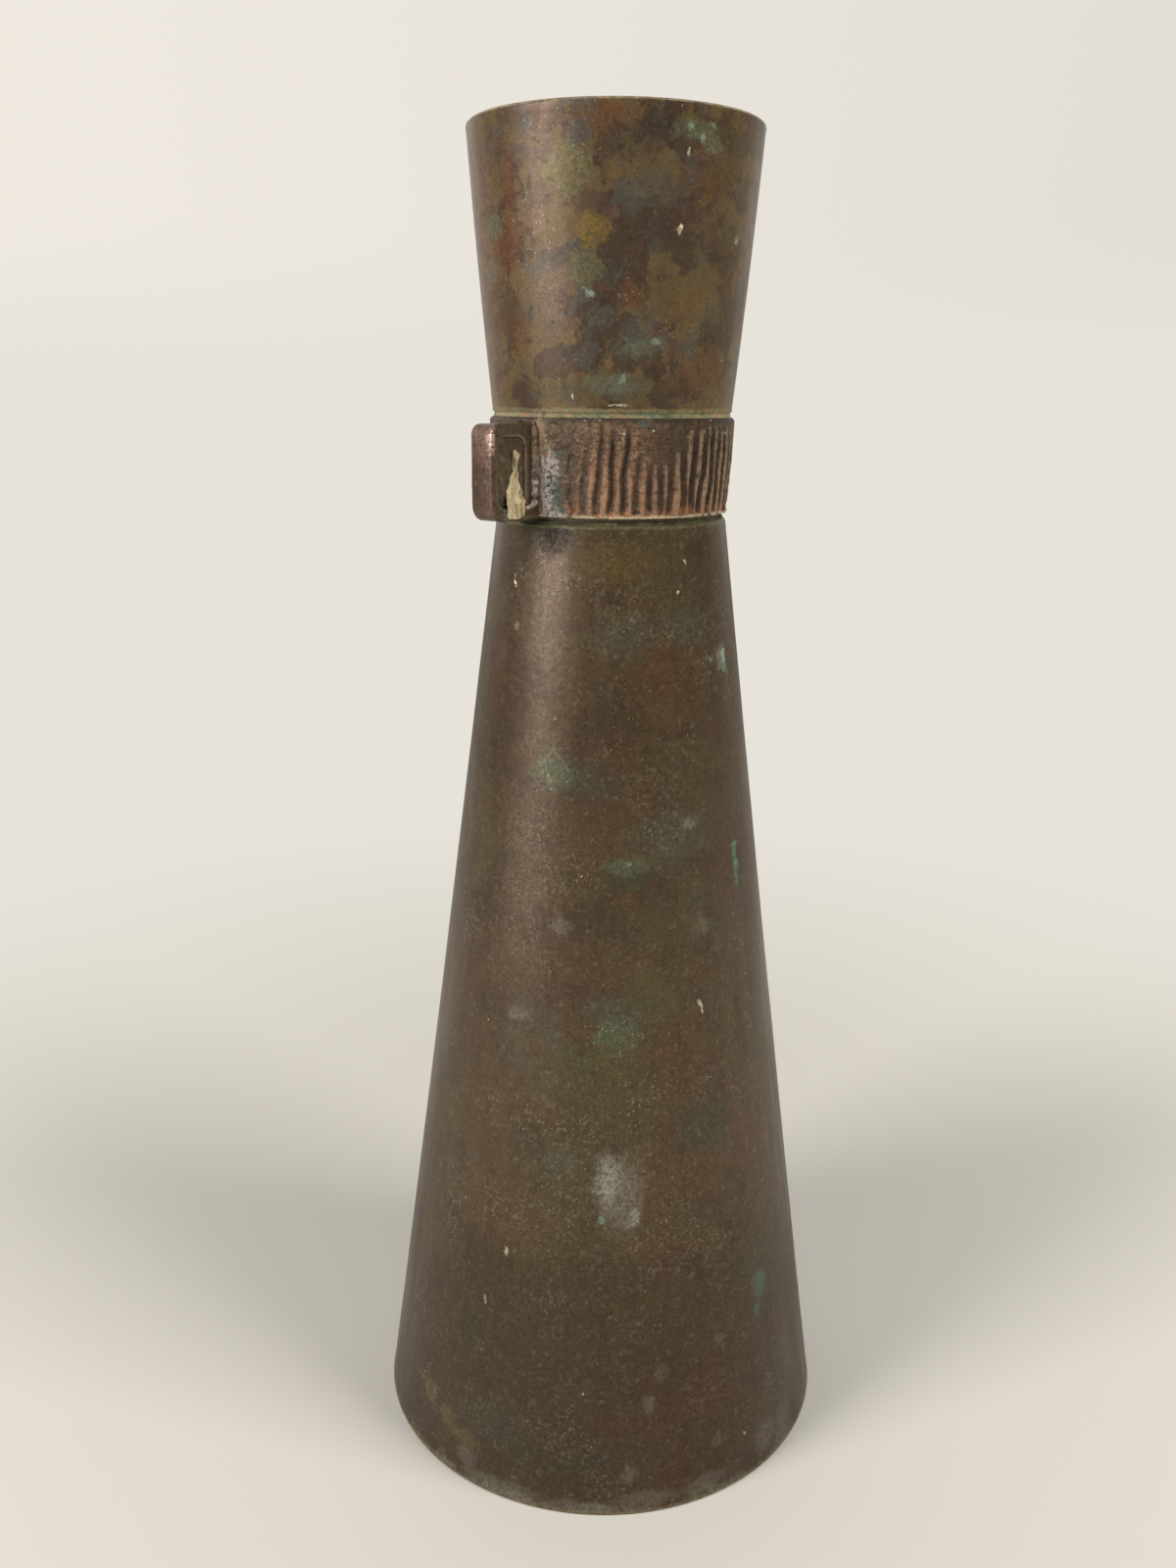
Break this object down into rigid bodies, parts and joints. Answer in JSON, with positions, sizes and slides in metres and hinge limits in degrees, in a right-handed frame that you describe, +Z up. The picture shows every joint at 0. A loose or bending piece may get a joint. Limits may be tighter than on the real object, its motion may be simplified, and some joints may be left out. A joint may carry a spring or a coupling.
{
  "type": "flower vase",
  "caption": "Tall conical copper flower vase with a ribbed waist band, a pocketed side ear and a flared neck open at the mouth.",
  "frame": {"origin": "centre of the foot, on the surface the vase stands on", "axes": "+Z up along the vase's axis; the ear points to -X and its pictured cheek faces -Y"},
  "size_m": [0.1094, 0.1094, 0.3],
  "materials": {
    "patinated_copper": "cast copper with a satin dark brown patina, olive and verdigris clouds",
    "cast_copper": "rough reddish cast copper, worn bright on the ribs",
    "braze": "dull tan braze with a verdigris edge",
    "plate_copper": "plain sheet copper, dull brown",
    "solder": "dull grey soft solder"
  },
  "bodies": {
    "root": {"lower_body": "patinated_copper", "upper_neck": "patinated_copper", "waist_band": "cast_copper", "ear": "cast_copper", "ear_braze_front": "braze", "ear_braze_back": "braze", "neck_braze": "braze", "waist_braze": "braze", "base_plate": "plate_copper", "base_solder": "solder"}
  },
  "joints": []
}
